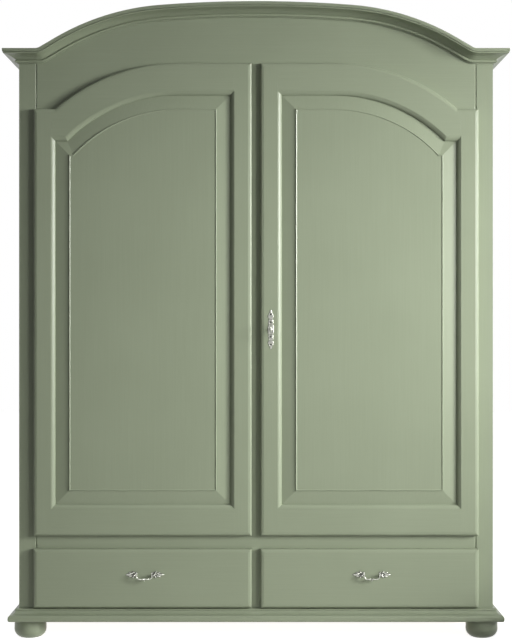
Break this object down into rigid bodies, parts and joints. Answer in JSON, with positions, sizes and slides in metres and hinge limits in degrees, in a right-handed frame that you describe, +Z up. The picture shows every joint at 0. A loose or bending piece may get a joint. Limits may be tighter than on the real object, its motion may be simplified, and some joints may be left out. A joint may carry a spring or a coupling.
{
  "type": "wardrobe",
  "caption": "Painted two-door wardrobe with an arched moulded cornice, raised-panel doors, two drawers with bail pulls and bun feet.",
  "frame": {"origin": "on the floor, under the centre of the whole wardrobe's box", "axes": "+Z up, +X to the right as seen from the front, the front looks along -Y"},
  "size_m": [1.658, 0.627, 2.0889],
  "materials": {
    "sage_paint": "satin sage green paint over wood",
    "pine": "clear lacquered pine",
    "beech": "turned beech, oiled",
    "old_silver": "polished, cast, old silver colour",
    "zinc_steel": "zinc plated"
  },
  "bodies": {
    "carcass": {"back_feet": "sage_paint", "back_panel": "pine", "base_board": "pine", "base_moulding_front": "sage_paint", "bottom_rail": "sage_paint", "centre_post": "sage_paint", "clothes_rail": "beech", "cornice_front": "sage_paint", "drawer_divider": "sage_paint", "drawer_runners": "pine", "floor_board": "pine", "frieze": "sage_paint", "front_feet": "sage_paint", "hat_shelf": "pine", "hinge_arms": "zinc_steel", "left_back_post": "sage_paint", "left_base_moulding": "sage_paint", "left_cornice": "sage_paint", "left_front_post": "sage_paint", "left_side_panels": "sage_paint", "left_side_rails": "sage_paint", "mid_rail": "sage_paint", "rail_sockets": "beech", "right_back_post": "sage_paint", "right_base_moulding": "sage_paint", "right_cornice": "sage_paint", "right_front_post": "sage_paint", "right_side_panels": "sage_paint", "right_side_rails": "sage_paint", "shelf_bearers": "pine", "strike_plates": "zinc_steel", "top_board": "sage_paint"},
    "left_door": {"left_door_hinge_stile": "sage_paint", "left_door_meeting_stile": "sage_paint", "left_door_top_rail": "sage_paint", "left_door_bottom_rail": "sage_paint", "left_door_panel": "sage_paint", "left_hinge_flaps": "zinc_steel", "catch_guide": "zinc_steel"},
    "right_door": {"right_door_hinge_stile": "sage_paint", "right_door_meeting_stile": "sage_paint", "right_door_top_rail": "sage_paint", "right_door_bottom_rail": "sage_paint", "right_door_panel": "sage_paint", "right_hinge_flaps": "zinc_steel", "lock_plate": "old_silver", "lock_case": "zinc_steel"},
    "key": {"key": "old_silver"},
    "lock_bolt": {"lock_bolt": "zinc_steel"},
    "catch_bolt": {"catch_bolt": "zinc_steel"},
    "left_drawer": {"left_drawer_front": "sage_paint", "left_drawer_box": "pine", "left_drawer_base": "pine", "left_pull_bosses": "old_silver"},
    "right_drawer": {"right_drawer_front": "sage_paint", "right_drawer_box": "pine", "right_drawer_base": "pine", "right_pull_bosses": "old_silver"},
    "left_bail": {"left_bail": "old_silver"},
    "right_bail": {"right_bail": "old_silver"}
  },
  "joints": [
    {"name": "left_door_hinge", "type": "hinge", "parent": "carcass", "child": "left_door", "pos_m": [-0.726, -0.2585, 1.1], "axis": [0, 0, -1], "range_deg": [0, 100]},
    {"name": "right_door_hinge", "type": "hinge", "parent": "carcass", "child": "right_door", "pos_m": [0.726, -0.2585, 1.1], "axis": [0, 0, 1], "range_deg": [0, 100]},
    {"name": "key_turn", "type": "hinge", "parent": "right_door", "child": "key", "pos_m": [0.04875, -0.2735, 1.018], "axis": [0, -1, 0], "range_deg": [0, 360]},
    {"name": "lock_bolt_slide", "type": "slide", "parent": "right_door", "child": "lock_bolt", "axis": [-1, 0, 0], "range_m": [0, 0.01]},
    {"name": "catch_bolt_slide", "type": "slide", "parent": "left_door", "child": "catch_bolt", "axis": [1, 0, 0], "range_m": [0, 0.012]},
    {"name": "left_drawer_slide", "type": "slide", "parent": "carcass", "child": "left_drawer", "axis": [0, -1, 0], "range_m": [0, 0.38]},
    {"name": "right_drawer_slide", "type": "slide", "parent": "carcass", "child": "right_drawer", "axis": [0, -1, 0], "range_m": [0, 0.38]},
    {"name": "left_bail_swing", "type": "hinge", "parent": "left_drawer", "child": "left_bail", "pos_m": [-0.3655, -0.2865, 0.2143], "axis": [-1, 0, 0], "range_deg": [0, 90]},
    {"name": "right_bail_swing", "type": "hinge", "parent": "right_drawer", "child": "right_bail", "pos_m": [0.3795, -0.2865, 0.2143], "axis": [-1, 0, 0], "range_deg": [0, 90]}
  ],
  "couplings": [
    {"joint": "lock_bolt_slide", "follows": "key_turn", "m_per_rad": 0.0015915}
  ]
}
